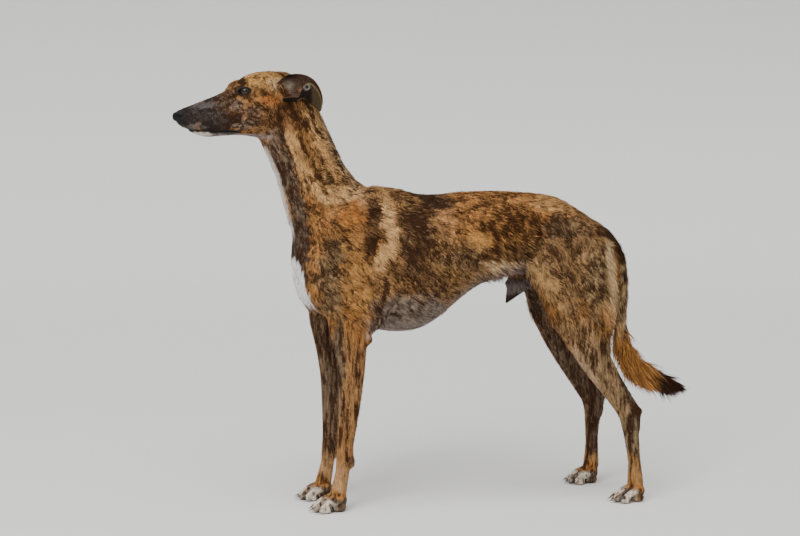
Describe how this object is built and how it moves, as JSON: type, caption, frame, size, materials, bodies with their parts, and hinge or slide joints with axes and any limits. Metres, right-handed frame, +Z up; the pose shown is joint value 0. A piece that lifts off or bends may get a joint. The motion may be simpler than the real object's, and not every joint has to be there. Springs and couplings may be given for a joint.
{
  "type": "standing greyhound",
  "caption": "Life-size brindle greyhound standing still on all four feet, head up and level, ears folded back, feathered tail hanging with its tip swept back.",
  "frame": {"origin": "centre of the bounding box's footprint, on the floor the paws stand on", "axes": "+Z up, the dog faces -X with its left side towards -Y, so X is its length and Y its width"},
  "size_m": [1.1907, 0.2606, 0.9875],
  "materials": {
    "head": "short, slightly rough fur",
    "lower_jaw": "short, slightly rough fur",
    "nose": "damp black leather",
    "eye": "wet and glossy, opaque",
    "neck": "short, slightly rough fur",
    "chest": "short, slightly rough fur",
    "loin": "short, slightly rough fur",
    "pelvis": "short, slightly rough fur",
    "upper_arm": "short, slightly rough fur",
    "forearm": "short, slightly rough fur",
    "pastern": "short, slightly rough fur",
    "thigh": "short, slightly rough fur",
    "shank": "short, slightly rough fur",
    "hock": "short, slightly rough fur",
    "claw": "smooth dark horn",
    "paw": "short, slightly rough fur",
    "tail_root": "short, slightly rough fur",
    "tail_middle": "short, slightly rough fur",
    "tail_brush": "short, slightly rough fur",
    "tail_tip": "short, slightly rough fur",
    "sheath": "short, slightly rough fur",
    "ear": "short, slightly rough fur"
  },
  "bodies": {
    "root": {"head": "head", "lower_jaw": "lower_jaw", "nose": "nose", "eye_left": "eye", "eye_right": "eye", "neck": "neck", "chest": "chest", "loin": "loin", "pelvis": "pelvis", "upper_arm_left": "upper_arm", "forearm_left": "forearm", "pastern_left": "pastern", "upper_arm_right": "upper_arm", "forearm_right": "forearm", "pastern_right": "pastern", "thigh_left": "thigh", "shank_left": "shank", "hock_left": "hock", "thigh_right": "thigh", "shank_right": "shank", "hock_right": "hock", "claw_fore_left_1": "claw", "claw_fore_left_2": "claw", "claw_fore_left_3": "claw", "claw_fore_left_4": "claw", "paw_fore_left": "paw", "claw_fore_right_1": "claw", "claw_fore_right_2": "claw", "claw_fore_right_3": "claw", "claw_fore_right_4": "claw", "paw_fore_right": "paw", "claw_hind_left_1": "claw", "claw_hind_left_2": "claw", "claw_hind_left_3": "claw", "claw_hind_left_4": "claw", "paw_hind_left": "paw", "claw_hind_right_1": "claw", "claw_hind_right_2": "claw", "claw_hind_right_3": "claw", "claw_hind_right_4": "claw", "paw_hind_right": "paw", "tail_root": "tail_root", "tail_middle": "tail_middle", "tail_brush": "tail_brush", "tail_tip": "tail_tip", "sheath": "sheath", "ear_left": "ear", "ear_right": "ear"}
  },
  "joints": []
}
